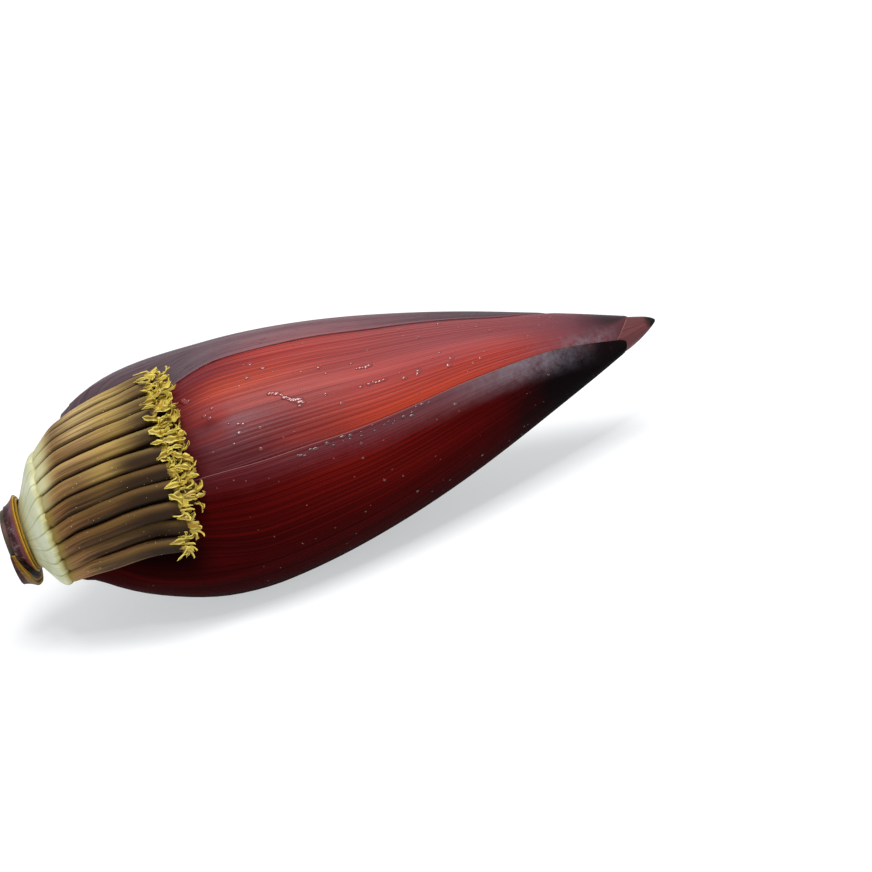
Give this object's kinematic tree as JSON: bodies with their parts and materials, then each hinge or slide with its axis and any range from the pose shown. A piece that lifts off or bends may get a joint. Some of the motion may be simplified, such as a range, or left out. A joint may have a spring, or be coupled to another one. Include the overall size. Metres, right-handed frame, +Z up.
{
  "type": "banana blossom",
  "caption": "Banana flower bud lying on its side, a tapered bud of overlapping leathery bracts with a short cut stalk and one bared hand of florets.",
  "frame": {"origin": "on the surface it rests on, below the middle of its overall box", "axes": "+X along the bud from the cut stalk to the tip, +Z up from the resting surface, -Y the side with the bared florets"},
  "size_m": [0.273, 0.1016, 0.1007],
  "materials": {
    "lower_bract": "smooth, waxy",
    "upper_bract": "smooth, waxy with a grey bloom",
    "front_bract": "smooth, glossy",
    "tip_bract": "smooth, waxy",
    "bud_heart": "soft plant tissue",
    "stalk": "smooth, moist",
    "bract_base": "rough, dried where cut",
    "outer_floret": "ribbed, satin",
    "inner_floret": "ribbed, satin"
  },
  "bodies": {
    "root": {"stalk": "stalk", "bract_base_upper": "bract_base", "bract_base_lower": "bract_base", "bud_heart": "bud_heart", "lower_bract": "lower_bract", "upper_bract": "upper_bract", "front_bract": "front_bract", "tip_bract": "tip_bract", "outer_floret_01": "outer_floret", "outer_floret_02": "outer_floret", "outer_floret_03": "outer_floret", "outer_floret_04": "outer_floret", "outer_floret_05": "outer_floret", "outer_floret_06": "outer_floret", "outer_floret_07": "outer_floret", "outer_floret_08": "outer_floret", "outer_floret_09": "outer_floret", "outer_floret_10": "outer_floret", "inner_floret_01": "inner_floret", "inner_floret_02": "inner_floret", "inner_floret_03": "inner_floret", "inner_floret_04": "inner_floret", "inner_floret_05": "inner_floret", "inner_floret_06": "inner_floret", "inner_floret_07": "inner_floret", "inner_floret_08": "inner_floret", "inner_floret_09": "inner_floret"}
  },
  "joints": []
}
